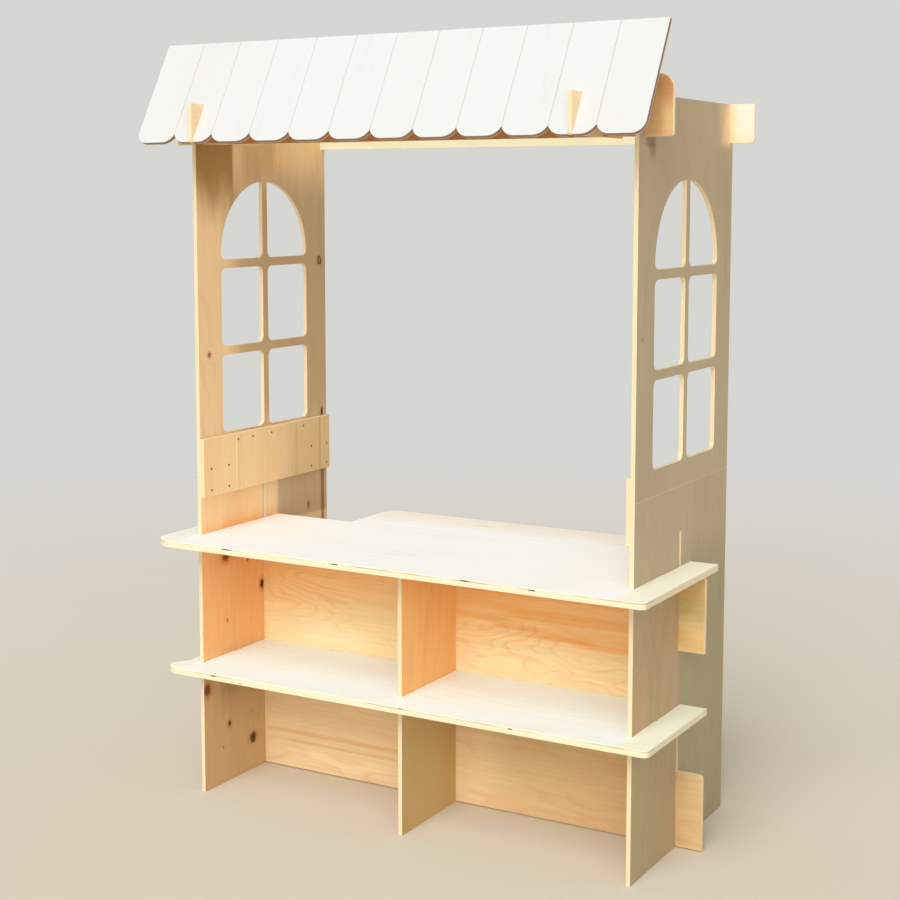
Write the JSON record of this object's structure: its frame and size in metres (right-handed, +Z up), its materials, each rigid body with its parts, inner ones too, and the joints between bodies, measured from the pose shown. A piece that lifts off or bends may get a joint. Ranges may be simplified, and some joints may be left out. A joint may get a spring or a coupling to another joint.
{
  "type": "wooden market stall",
  "caption": "Flat-pack market stall of slotted pale plywood sheets, with a counter, a shelf, arched windows in its side panels, two headers and a scalloped sloping awning.",
  "frame": {"origin": "middle of the stall's footprint box, on the floor it stands on", "axes": "+X across the stall to the customer's right, +Y from the customer's side to the seller's side, +Z up"},
  "size_m": [1.542, 0.811, 2.1898],
  "materials": {
    "side_plywood": "bare sanded softwood plywood",
    "splice_plywood": "bare sanded softwood plywood",
    "divider_plywood": "bare sanded softwood plywood",
    "counter_plywood": "bare sanded softwood plywood",
    "back_plywood": "bare sanded softwood plywood",
    "header_plywood": "bare sanded softwood plywood",
    "awning_plywood": "bare sanded softwood plywood"
  },
  "bodies": {
    "root": {"left_side_lower": "side_plywood", "right_side_lower": "side_plywood", "left_side_upper": "side_plywood", "right_side_upper": "side_plywood", "left_splice_front": "splice_plywood", "left_splice_back": "splice_plywood", "right_splice_front": "splice_plywood", "right_splice_back": "splice_plywood", "centre_divider": "divider_plywood", "shelf": "counter_plywood", "counter": "counter_plywood", "lower_back_board": "back_plywood", "upper_back_board": "back_plywood", "front_header": "header_plywood", "back_header": "header_plywood", "left_awning_bracket": "header_plywood", "right_awning_bracket": "header_plywood", "awning": "awning_plywood"}
  },
  "joints": []
}
